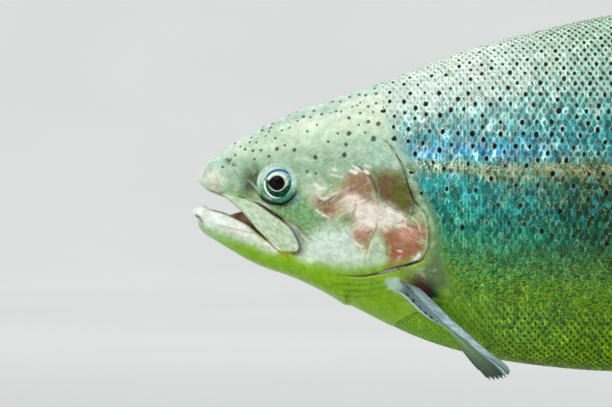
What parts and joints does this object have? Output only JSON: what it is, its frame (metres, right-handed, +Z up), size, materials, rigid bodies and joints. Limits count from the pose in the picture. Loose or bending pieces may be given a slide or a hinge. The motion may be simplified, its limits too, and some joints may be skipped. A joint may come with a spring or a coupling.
{
  "type": "rainbow trout model",
  "caption": "Life-size still model of an adult rainbow trout in profile, mouth slightly open, held over a flat base by short rods.",
  "frame": {"origin": "centre of the stand base's underside, on the floor", "axes": "+X from the fish's head to its tail, +Y to the fish's right, +Z up"},
  "size_m": [0.6177, 0.16, 0.3026],
  "materials": {
    "skin": "wet, glossy fish skin, spotted, silver to lime green",
    "scales": "glossy scales, steel blue over teal, lime green below, with dark spots",
    "fin": "thin rayed fin membrane, satin",
    "mouth": "moist mouth lining",
    "eye": "clear glass over a painted iris and black pupil",
    "stand_wood": "dark stained hardwood, satin",
    "stand_steel": "brushed stainless steel"
  },
  "bodies": {
    "root": {"head": "skin", "jaw_lower": "skin", "tongue": "mouth", "maxilla_left": "skin", "maxilla_right": "skin", "gill_cover_left": "skin", "gill_cover_right": "skin", "eye_left": "eye", "eye_right": "eye", "trunk_front": "scales", "trunk_middle": "scales", "trunk_rear": "scales", "tail": "scales", "fin_dorsal": "fin", "fin_adipose": "fin", "fin_anal": "fin", "fin_tail": "fin", "fin_pectoral_left": "fin", "fin_pectoral_right": "fin", "fin_pelvic_left": "fin", "fin_pelvic_right": "fin", "stand_base": "stand_wood", "stand_rod_front": "stand_steel", "stand_rod_rear": "stand_steel"}
  },
  "joints": []
}
